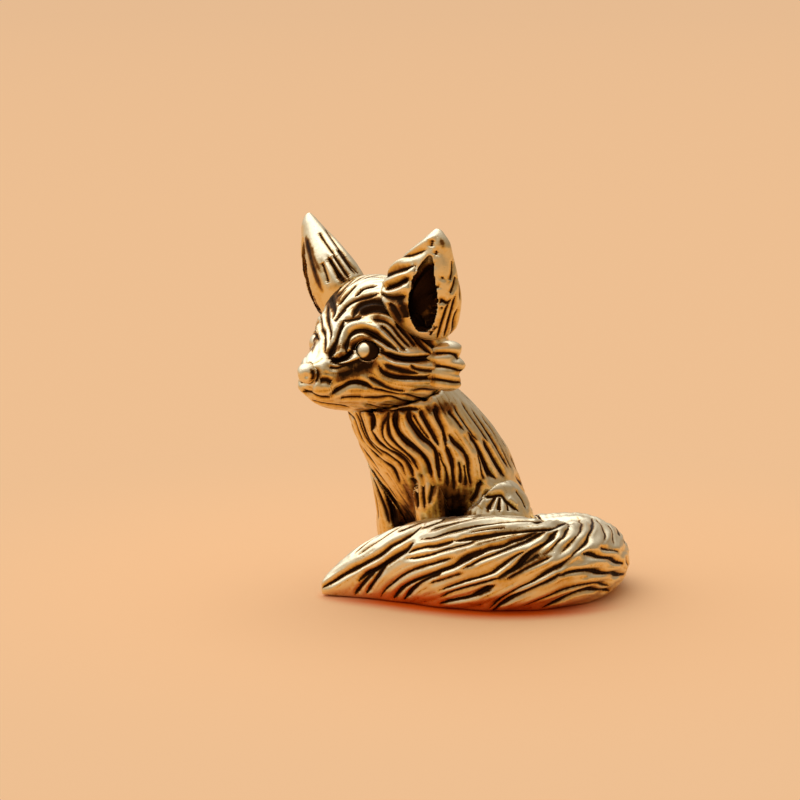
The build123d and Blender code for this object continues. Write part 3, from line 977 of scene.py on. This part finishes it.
def carve(piece, carving, view, ribbed=None):
    """Cuts the lines into a piece and raises its ridges, above its flat base.

    A ribbed piece keeps the locks of its own node, half as high, where the photograph doesn't look
    and away from the lines given.
    """
    mesh = piece.data
    places = mesh_array(mesh, "co")
    own = np.zeros(len(places))
    rib_dark = np.zeros(len(places))
    if ribbed:
        soften(piece, FLAT_ROUNDS)
        flat = mesh_array(mesh, "co")
        normals = mesh_array(mesh, "normal")
        hidden = np.clip(0.5 - normals @ view.toward * 3, 0, 1)
        open_area = (1 - drawn_area(flat, ribbed, LOCK_ROOM)) * hidden
        own = ((places - flat) * normals).sum(1)
        rib_dark = np.clip(-own / 0.1 - 0.1, 0, 0.5) * open_area
        own *= 0.5 * open_area
        places = flat
    normals = mesh_array(mesh, "normal")
    depth, dark = cut_field(places, normals, carving.cuts)
    rise = soft_field(places, normals, carving.swells)
    stain_and_shade = soft_field(places, normals, carving.stains_and_shade)
    fade = np.clip(places[:, 2] / BASE_FADE, 0, 1)
    places = places + normals * ((own + rise - depth) * fade)[:, None]
    places[:, 2] = np.maximum(places[:, 2], 0)
    set_places(mesh, places)
    # Dark kept for the metal: patina in the cuts, and the dark patches of stain and painted shade
    store(mesh, "patina_and_shade", np.maximum(dark, rib_dark) + 0.4 * np.minimum(depth, 0.3) + stain_and_shade)


def sink_end(piece, way, length, shift):
    """Leans the end of a piece that lies furthest one way into its neighbour, so that no edge shows."""
    places = mesh_array(piece.data, "co")
    along = places @ np.array(way, float)
    share = np.clip((along - along.max() + length) / length, 0, 1)
    set_places(piece.data, places + share[:, None] ** 1.5 * np.array(shift))


def round_tip(piece, length):
    """Rounds the blunt end of an ear."""
    places = mesh_array(piece.data, "co")
    tip = places[places[:, 2] > places[:, 2].max() - 0.15].mean(0)
    below = places[np.abs(places[:, 2] - tip[2] + 2.0) < 0.5].mean(0)
    axis = (tip - below) / np.linalg.norm(tip - below)
    end = ((places - tip) @ axis).max()
    along = (places - tip) @ axis
    share = np.clip(1 - (end - along) / length, 0, 1)
    middle = tip + along[:, None] * axis
    set_places(piece.data, middle + (places - middle) * np.sqrt(1 - 0.97 * share**2)[:, None])


def eye_frame(places, across):
    """Middle and radius of an eye, with the directions across, up and out of the face there."""
    middle = (places.min(0) + places.max(0)) / 2
    radius = (places.max(0) - places.min(0)).mean() / 2
    across = across / np.linalg.norm(across)
    out = np.cross(across, (0, 0, 1))
    out /= np.linalg.norm(out)
    return middle, radius, np.stack((across, np.cross(out, across), out))


def close_lids(piece, eye, across):
    """Draws the rim of an eye's socket together over the eye, to an almond."""
    ball = fine_copy("ball", [eye], 0.1, 0)
    middle, radius, axes = eye_frame(mesh_array(ball.data, "co"), across)
    bpy.data.objects.remove(ball)
    places = mesh_array(piece.data, "co")
    local = (places - middle) @ axes.T
    near = np.exp(-((local[:, 0] / LID_WIDTH) ** 2) - (local[:, 1] / LID_HEIGHT) ** 2)
    near *= local[:, 2] > -0.2
    local[:, 1] = local[:, 1] * (1 - 0.6 * near) + 0.1 * near
    gap = np.linalg.norm(local, axis=1)
    rim = radius + LID_GAP
    lifted = np.where((gap < rim) & (local[:, 2] > 0), rim / gap, 1)
    set_places(piece.data, (local * lifted[:, None]) @ axes + middle)


def paint_eye_glint(piece, glint_spot):
    """Darkens an eye with patina all round a painted glint, a bright spot toward where the glint shows."""
    places = mesh_array(piece.data, "co")
    out = places - (places.min(0) + places.max(0)) / 2
    glint_spot = glint_spot - (places.min(0) + places.max(0)) / 2
    out /= np.linalg.norm(out, axis=1)[:, None]
    turned = 1 - out @ (glint_spot / np.linalg.norm(glint_spot))
    store(piece.data, "patina_and_shade", np.clip((turned - 0.11) / 0.12, 0, 1.2))


def finish_piece(piece, node, metal, *others):
    """Takes a carved piece back to metres, with its metal, and sets it on the frame for its nodes."""
    mesh = piece.data
    if "patina_and_shade" not in mesh.attributes:
        store(mesh, "patina_and_shade", np.zeros(len(mesh.vertices)))
    store(mesh, "groove", cavity(mesh, 5))
    # Painted highlight: how far each vertex faces up toward the light, which the metal pales
    store(mesh, "lit_top", mesh_array(mesh, "normal") @ np.array(PAINTED_HIGHLIGHT_SIDE))
    # Painted shade: how far the figurine shuts each vertex in, which the metal darkens
    store(mesh, "shelter_shade", shelter_shade().at(mesh_array(mesh, "co")))
    mesh.transform(Matrix.Scale(MM, 4))
    mesh.materials.clear()
    mesh.materials.append(metal)
    mesh.polygons.foreach_set("use_smooth", [True] * len(mesh.polygons))
    mesh.update()
    piece.name = f"carved_{node}"
    mesh.name = piece.name
    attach(piece, BODY)
    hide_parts(node, *others)


class Wiring:
    """Adds nodes to a shader tree and joins them up."""

    def __init__(self, tree):
        self.nodes = tree.nodes
        self.links = tree.links

    def join(self, value, into):
        """Links an output to an input, or sets the input to a plain value."""
        if isinstance(value, bpy.types.NodeSocket):
            self.links.new(value, into)
        else:
            into.default_value = value

    def add(self, kind, inputs=None, **settings):
        """A new shader node with its settings and inputs."""
        made = self.nodes.new("ShaderNode" + kind)
        for key, value in settings.items():
            setattr(made, key, value)
        for key, value in (inputs or {}).items():
            self.join(value, made.inputs[key])
        return made

    def math(self, operation, first, second):
        """Two values worked into one."""
        return self.add("Math", {0: first, 1: second}, operation=operation).outputs[0]

    def vector(self, operation, *values):
        """A number worked out from one or two vectors."""
        return self.add("VectorMath", dict(enumerate(values)), operation=operation).outputs["Value"]

    def ranged(self, value, low, high, start=0.0, end=1.0, way="SMOOTHSTEP"):
        """A value carried from one range to another, and held at its ends."""
        numbers = {"Value": value, "From Min": low, "From Max": high, "To Min": start, "To Max": end}
        return self.add("MapRange", numbers, interpolation_type=way).outputs["Result"]

    def mix(self, share, first, second):
        """A colour between two others."""
        inputs = {"Factor": share, "A": first, "B": second}
        return self.add("Mix", inputs, data_type="RGBA").outputs["Result"]

    def ramp(self, value, stops):
        """A colour between stops, each a place from 0 to 1 and a colour."""
        made = self.add("ValToRGB", {"Fac": value})
        band = made.color_ramp.elements
        for element, (place, colour) in zip(band, (stops[0], stops[-1])):
            element.position = place
            element.color = (*colour, 1)
        for place, colour in stops[1:-1]:
            band.new(place).color = (*colour, 1)
        return made.outputs["Color"]

    def noise(self, place, size, detail):
        """Noise about zero, of a size in metres."""
        made = self.add("TexNoise", {"Scale": 1 / size, "Detail": detail, "Vector": place})
        return self.math("SUBTRACT", made.outputs["Fac"], 0.5)


def antiquing_and_light_group():
    """Node group that turns the carving's attributes into colour with painted shade and highlights,
    roughness and fine relief.
    """
    known = bpy.data.node_groups.get("Antiquing_and_painted_light")
    if known:
        return known
    finish = bpy.context.scene.fox_finish
    group = bpy.data.node_groups.new("Antiquing_and_painted_light", "ShaderNodeTree")
    group.interface.new_socket("Rubbing", in_out="INPUT", socket_type="NodeSocketFloat")
    for name, kind in (("Colour", "Color"), ("Roughness", "Float"), ("Relief", "Float")):
        group.interface.new_socket(name, in_out="OUTPUT", socket_type="NodeSocket" + kind)
    wires = Wiring(group)
    math_node = wires.math
    ranged = wires.ranged

    rubbing = wires.nodes.new("NodeGroupInput").outputs["Rubbing"]
    names = ("patina_and_shade", "groove", "shelter_shade", "lit_top")
    carved = [wires.add("Attribute", attribute_name=name).outputs["Fac"] for name in names]
    patina_and_shade, groove, shut, lit_top = carved
    place = wires.add("TexCoord").outputs["Object"]
    blotch = wires.noise(place, BLOTCH_SIZE, 3)
    fine = wires.noise(place, GRIT_SIZE, 4)
    pits = wires.add("TexVoronoi", {"Scale": 0.5 / finish.pit_size, "Vector": place})
    pit = ranged(pits.outputs["Distance"], 0.05, 0.15)

    hollow = ranged(groove, 0.0, 0.06, 0.0, 0.45)
    crest = ranged(groove, -0.05, 0.0, 0.18, 0.0)
    # Painted shade where the figurine shuts a place in, partly patina that rubbing doesn't reach
    shade = ranged(shut, 0.30, 0.85, 0.0, 0.85)
    wear_and_shade = math_node("SUBTRACT", math_node("ADD", crest, rubbing), patina_and_shade)
    wear_and_shade = math_node("SUBTRACT", wear_and_shade, math_node("ADD", hollow, shade))
    for unevenness, share in ((blotch, 0.75), (fine, 0.4), (pit, 0.12)):
        wear_and_shade = math_node("ADD", wear_and_shade, math_node("MULTIPLY", unevenness, share))

    stops = ((0.06, finish.patina_and_shade), (0.36, finish.bronze), (0.66, finish.brass), (0.9, finish.bright))
    # Painted highlight: tops facing the light are paled toward a whiter colour where the metal is bright
    painted_highlight = math_node("MULTIPLY", ranged(lit_top, -0.15, 0.55), ranged(wear_and_shade, 0.35, 0.75))
    rough = ranged(wear_and_shade, 0.1, 0.7, finish.dullness, finish.polish)
    relief = math_node("ADD", math_node("MULTIPLY", fine, 0.5), math_node("MULTIPLY", pit, 0.5))
    out = wires.nodes.new("NodeGroupOutput").inputs
    wires.join(wires.mix(painted_highlight, wires.ramp(wear_and_shade, stops), (*finish.painted_highlight, 1)), out["Colour"])
    wires.join(math_node("ADD", rough, math_node("MULTIPLY", fine, 0.15)), out["Roughness"])
    wires.join(relief, out["Relief"])
    return group


def brass(name, rubbing):
    """Antiqued brass, rubbed more or less bright, with painted shade and painted highlights."""
    known = bpy.data.materials.get(name)
    if known:
        return known
    metal = bpy.data.materials.new(name)
    metal.use_nodes = True
    wires = Wiring(metal.node_tree)
    aged_and_lit = wires.add("Group", node_tree=antiquing_and_light_group())
    aged_and_lit.inputs["Rubbing"].default_value = rubbing
    relief = {"Strength": 0.5, "Distance": RELIEF_HEIGHT, "Height": aged_and_lit.outputs["Relief"]}
    inputs = {
        "Metallic": 1.0,
        "Base Color": aged_and_lit.outputs["Colour"],
        "Roughness": aged_and_lit.outputs["Roughness"],
        "Normal": wires.add("Bump", relief).outputs["Normal"],
    }
    for key, value in inputs.items():
        wires.join(value, wires.nodes["Principled BSDF"].inputs[key])
    return metal


def carved_metal():
    """Metal of the furred castings."""
    return brass("carved_brass", CARVED_RUBBING)


def rubbed_metal():
    """Metal of the smooth pieces, which are handled most."""
    return brass("rubbed_brass", SMOOTH_RUBBING)


def photo_view():
    """The photograph's view, as the sidebar has it."""
    return PhotoView(bpy.context.scene.fox_view)


def body_lie(point, normal):
    """Fur of the body lies down and a little back."""
    return np.array((0.0, 0.35, -1.0))


def head_lie(point, normal):
    """Fur of the head lies back from the muzzle, out to the cheeks, and down at the nape."""
    return np.array((0.25 * np.sign(point[0]), 1.0, 0.1 - 1.8 * max(normal[1], 0)))


def tail_lie(point, normal):
    """Fur of the tail runs along it, round the front to its tip."""
    return np.cross((0.0, 0.0, 1.0), point * (1, 1, 0)) * -1.0


def ear_lie(point, normal):
    """Fur of an ear runs up to its tip."""
    return np.array((0.45 * np.sign(point[0]), -0.08, 1.0))


class FOX_OT_body(bpy.types.Operator):
    """Carve the torso, haunches and forelegs"""

    bl_idname = "fox.body"
    bl_label = "Body"
    bl_options = {"REGISTER", "UNDO"}

    def execute(self, context):
        view = photo_view()
        skin = Skin(*BODY_PARTS, rounds=12)
        chest = drawn_lines(skin, view, CHEST_CUTS)
        legs = drawn_lines(skin, view, LEG_CUTS)
        drawn = chest + legs + mirrored(skin, legs, view)
        swells = drawn_lines(skin, view, BODY_SWELLS)
        stains_and_shade = drawn_lines(skin, view, BODY_STAINS_AND_SHADE, STAIN_AND_SHADE_FADE)
        flow = Flow(drawn, body_lie)
        draws = random.Random(SEED)
        fill = grown_lines(skin, flow, drawn, HIDDEN_LOCKS, draws, view)
        fill += grown_lines(skin, flow, drawn + fill, STRANDS, draws, view)
        for node in BODY_PARTS:
            if node == "torso":
                piece = fine_copy(node, [node], *FINE["torso"])
                carve(piece, Carving(chest + legs + fill, swells, stains_and_shade), view, ribbed=chest)
            else:
                piece = fine_copy(node, [node], *FINE["limb"])
                carve(piece, Carving(drawn + fill, swells, stains_and_shade), view)
            if node in LEG_LEANS:
                sink_end(piece, (0, 0, 1), LEG_TOP, LEG_LEANS[node])
            finish_piece(piece, node, rubbed_metal() if node.startswith("haunch") else carved_metal())
        return {"FINISHED"}


class FOX_OT_head(bpy.types.Operator):
    """Carve the head and lower jaw, and set in the nose and eyes"""

    bl_idname = "fox.head"
    bl_label = "Head"
    bl_options = {"REGISTER", "UNDO"}

    def execute(self, context):
        view = photo_view()
        skin = Skin("head", "lower_jaw", "eye_left", "eye_right", "nose", rounds=2)
        cuts = drawn_lines(skin, view, FACE_CUTS)
        swells = drawn_lines(skin, view, FACE_SWELLS)
        stains_and_shade = drawn_lines(skin, view, FACE_STAINS_AND_SHADE, STAIN_AND_SHADE_FADE)
        cuts += mirrored(skin, cuts, view)
        swells += mirrored(skin, swells)
        stains_and_shade += mirrored(skin, stains_and_shade)
        flow = Flow(cuts, head_lie)
        draws = random.Random(SEED + 1)
        cuts += grown_lines(skin, flow, cuts, HIDDEN_LOCKS, draws, view)
        cuts += grown_lines(skin, flow, cuts, STRANDS, draws, view)
        corners = [skin.seen(view, x, y) for x, y in EYE_CORNERS]
        across = corners[1] - corners[0]
        piece = fine_copy("head", ["head", "lower_jaw"], *FINE["head"])
        carve(piece, Carving(cuts, swells, stains_and_shade), view)
        close_lids(piece, "eye_left", across)
        close_lids(piece, "eye_right", across * (1, -1, -1))
        finish_piece(piece, "head", carved_metal(), "lower_jaw")
        piece = fine_copy("nose", ["nose"], *FINE["nose"])
        carve(piece, Carving([], [], stains_and_shade), view)
        finish_piece(piece, "nose", carved_metal())
        # Painted glint: the spot on each eye that is left bright
        glint = skin.seen(view, *EYE_GLINT)
        for node, glint_spot in (("eye_left", glint), ("eye_right", glint * (-1, 1, 1))):
            piece = fine_copy(node, [node], *FINE["eye"])
            paint_eye_glint(piece, glint_spot)
            finish_piece(piece, node, rubbed_metal())
        return {"FINISHED"}


class FOX_OT_ears(bpy.types.Operator):
    """Carve the two ears"""

    bl_idname = "fox.ears"
    bl_label = "Ears"
    bl_options = {"REGISTER", "UNDO"}

    def execute(self, context):
        view = photo_view()
        skin = Skin("ear_left", rounds=2)
        far_skin = Skin("ear_right", rounds=2)
        cuts = drawn_lines(skin, view, EAR_CUTS)
        far_cuts = drawn_lines(far_skin, view, FAR_EAR_CUTS)
        swells = drawn_lines(skin, view, EAR_SWELLS)
        stains_and_shade = drawn_lines(skin, view, EAR_STAINS_AND_SHADE, EAR_STAIN_AND_SHADE_FADE)
        far_stains = drawn_lines(far_skin, view, FAR_EAR_STAINS, STAIN_AND_SHADE_FADE)
        near_all = cuts + mirrored(skin, far_cuts, view)
        draws = random.Random(SEED + 2)
        near_all += grown_lines(skin, Flow(near_all, ear_lie), near_all, HIDDEN_LOCKS, draws, view)
        far_all = far_cuts + mirrored(far_skin, cuts, view)
        far_all += grown_lines(far_skin, Flow(far_all, ear_lie), far_all, HIDDEN_LOCKS, draws, view)
        sides = (
            ("ear_left", Carving(near_all, swells, stains_and_shade)),
            ("ear_right", Carving(far_all, mirrored(far_skin, swells, view), far_stains)),
        )
        for node, carving in sides:
            piece = fine_copy(node, [node], *FINE["ear"])
            round_tip(piece, EAR_TIP)
            carve(piece, carving, view)
            if node == "ear_right":
                sink_end(piece, (0, 0, -1), EAR_FOOT, view.right * EAR_LEAN)
            finish_piece(piece, node, carved_metal())
        return {"FINISHED"}


class FOX_OT_tail(bpy.types.Operator):
    """Carve the tail"""

    bl_idname = "fox.tail"
    bl_label = "Tail"
    bl_options = {"REGISTER", "UNDO"}

    def execute(self, context):
        view = photo_view()
        skin = Skin("tail", rounds=12)
        cuts = drawn_lines(skin, view, TAIL_CUTS)
        stains_and_shade = drawn_lines(skin, view, TAIL_STAINS, STAIN_AND_SHADE_FADE)
        flow = Flow(cuts, tail_lie)
        draws = random.Random(SEED + 3)
        fill = grown_lines(skin, flow, cuts, HIDDEN_LOCKS, draws, view)
        fill += grown_lines(skin, flow, cuts + fill, STRANDS, draws, view)
        piece = fine_copy("tail", ["tail"], *FINE["tail"])
        carve(piece, Carving(cuts + fill, [], stains_and_shade), view, ribbed=cuts)
        finish_piece(piece, "tail", rubbed_metal())
        return {"FINISHED"}


class FOX_OT_smooth_pieces(bpy.types.Operator):
    """Finish the cheek ruffs and paws"""

    bl_idname = "fox.smooth_pieces"
    bl_label = "Ruffs and paws"
    bl_options = {"REGISTER", "UNDO"}

    def execute(self, context):
        view = photo_view()
        skin = Skin("cheek_ruff_left", rounds=3)
        far_skin = Skin("cheek_ruff_right", rounds=3)
        cuts = drawn_lines(skin, view, RUFF_CUTS)
        stains_and_shade = drawn_lines(skin, view, RUFF_STAINS, STAIN_AND_SHADE_FADE)
        sides = (
            ("cheek_ruff_left", Carving(cuts, [], stains_and_shade)),
            ("cheek_ruff_right", Carving(mirrored(far_skin, cuts), [], mirrored(far_skin, stains_and_shade))),
        )
        for node, carving in sides:
            piece = fine_copy(node, [node], *FINE["ruff"])
            carve(piece, carving, view)
            inward = -RUFF_LEAN if node.endswith("left") else RUFF_LEAN
            sink_end(piece, (0, -1, 0), RUFF_FRONT, (inward, 0, 0))
            finish_piece(piece, node, carved_metal())
        for node in PAWS:
            piece = fine_copy(node, [node], *FINE["paw"])
            finish_piece(piece, node, rubbed_metal())
        return {"FINISHED"}


class FOX_OT_stage(bpy.types.Operator):
    """Lay the floor and backdrop, and set the light and the camera"""

    bl_idname = "fox.stage"
    bl_label = "Stage"
    bl_options = {"REGISTER", "UNDO"}

    def execute(self, context):
        self.floor(context.scene.fox_stage)
        self.light(context.scene.fox_stage)
        self.camera(context)
        return {"FINISHED"}

    def floor(self, stage):
        """Lays a floor that keeps its shadow and a painted glow under the tail, and turns to a plain
        backdrop further off.
        """
        bpy.ops.object.select_all(action="DESELECT")
        bpy.ops.mesh.primitive_plane_add(size=FLOOR_SIZE, location=(0, 0, 0))
        floor = bpy.context.object
        floor.name = "floor"
        paper = bpy.data.materials.new("pale_paper")
        paper.use_nodes = True
        wires = Wiring(paper.node_tree)
        floor_colour = (*stage.floor, 1)
        place = wires.add("TexCoord").outputs["Object"]
        far = wires.vector("LENGTH", place)
        from_glow = wires.vector("DISTANCE", place, stage.glow_place)
        # Painted glow: where the brass shuts the floor in near the tail, it is tinted toward the glow
        # colour as bounce light and contact shade
        open_above = wires.add("AmbientOcclusion", {"Distance": GLOW_REACH}).outputs["AO"]
        clear = wires.ranged(open_above, *GLOW_OPEN, way="LINEAR")
        clear = wires.math("MAXIMUM", wires.ranged(from_glow, *GLOW_FADE), clear)
        surface = wires.nodes["Principled BSDF"]
        inputs = {
            "Base Color": wires.mix(clear, (*stage.painted_glow, 1), floor_colour),
            "Roughness": 0.8,
            "Specular IOR Level": 0.1,
        }
        for key, value in inputs.items():
            wires.join(value, surface.inputs[key])
        tint = wires.ranged(far, *BACKDROP_FADE, way="LINEAR")
        tint = wires.mix(tint, floor_colour, (*stage.backdrop, 1))
        plain = wires.add("Emission", {"Color": tint}).outputs["Emission"]
        path = wires.add("LightPath").outputs
        seen = wires.math("MAXIMUM", path["Is Glossy Ray"], path["Is Transmission Ray"])
        seen = wires.math("MAXIMUM", path["Is Camera Ray"], seen)
        share = wires.math("MULTIPLY", seen, wires.ranged(far, *SHADOW_FADE))
        both = wires.add("MixShader", {"Fac": share, 1: surface.outputs["BSDF"], 2: plain})
        wires.join(both.outputs["Shader"], wires.nodes["Material Output"].inputs["Surface"])
        floor.data.materials.append(paper)

    def light(self, stage):
        """Sets a sky that is brightest overhead and a little lighter on one side, and a soft lamp."""
        world = bpy.data.worlds.new("Studio")
        bpy.context.scene.world = world
        world.use_nodes = True
        wires = Wiring(world.node_tree)
        sky = wires.nodes["Background"]
        place = wires.add("TexCoord").outputs["Generated"]
        bright = wires.vector("DOT_PRODUCT", place, Vector(stage.key).normalized())
        side = wires.vector("DOT_PRODUCT", place, Vector(stage.window).normalized())
        wires.join(wires.ramp(bright, SKY_STOPS), sky.inputs["Color"])
        levels = [stage.sky * share for share in SKY_SIDES]
        wires.join(wires.ranged(side, -0.7, 0.7, *levels), sky.inputs["Strength"])
        bpy.ops.object.light_add(type="AREA", location=Vector(stage.key) * LAMP_DISTANCE)
        lamp = bpy.context.object
        lamp.name = "soft_lamp"
        lamp.data.shape = "SQUARE"
        lamp.data.size = LAMP_SIZE
        lamp.data.energy = stage.lamp
        aim = Vector(LAMP_AIM) - lamp.location
        lamp.rotation_euler = aim.to_track_quat("-Z", "Y").to_euler()

    def camera(self, context):
        """Puts the camera where the photograph was taken from."""
        view = photo_view()
        bpy.ops.object.camera_add()
        camera = bpy.context.object
        turn = Matrix((view.right, view.up, view.toward)).transposed().to_4x4()
        camera.matrix_world = Matrix.Translation(Vector(view.eye) * MM) @ turn
        lens = camera.data
        lens.sensor_width = 36.0
        lens.lens = lens.sensor_width * context.scene.fox_view.distance / context.scene.fox_view.frame_width
        lens.clip_start = 0.01
        context.scene.camera = camera
        context.scene.view_settings.view_transform = "Standard"


class FOX_PT_panel(bpy.types.Panel):
    """Sidebar panel with the figurine's pieces"""

    bl_idname = "FOX_PT_panel"
    bl_label = "Brass fox"
    bl_space_type = "VIEW_3D"
    bl_region_type = "UI"
    bl_category = "Fox"

    def draw(self, context):
        """Lists the operators, then the values they work with."""
        for operator in OPERATORS:
            self.layout.operator(operator.bl_idname)
        for group in (context.scene.fox_finish, context.scene.fox_stage, context.scene.fox_view):
            for key in group.bl_rna.properties.keys():
                if key not in ("rna_type", "name"):
                    self.layout.prop(group, key)


GROUPS = {"fox_view": FoxView, "fox_finish": FoxFinish, "fox_stage": FoxStage}
OPERATORS = (FOX_OT_body, FOX_OT_head, FOX_OT_ears, FOX_OT_tail, FOX_OT_smooth_pieces, FOX_OT_stage)


def register():
    """Makes the settings, operators and panel known to Blender."""
    for group in GROUPS.values():
        bpy.utils.register_class(group)
    for key, group in GROUPS.items():
        setattr(bpy.types.Scene, key, PointerProperty(type=group))
    for kind in (*OPERATORS, FOX_PT_panel):
        bpy.utils.register_class(kind)


def unregister():
    """Takes the panel, operators and settings out again."""
    for kind in (FOX_PT_panel, *reversed(OPERATORS)):
        bpy.utils.unregister_class(kind)
    for key in GROUPS:
        delattr(bpy.types.Scene, key)
    for group in GROUPS.values():
        bpy.utils.unregister_class(group)


def main():
    """Makes the figurine and its stage."""
    register()
    bpy.ops.fox.body()
    bpy.ops.fox.head()
    bpy.ops.fox.ears()
    bpy.ops.fox.tail()
    bpy.ops.fox.smooth_pieces()
    bpy.ops.fox.stage()


if __name__ == "__main__":
    main()
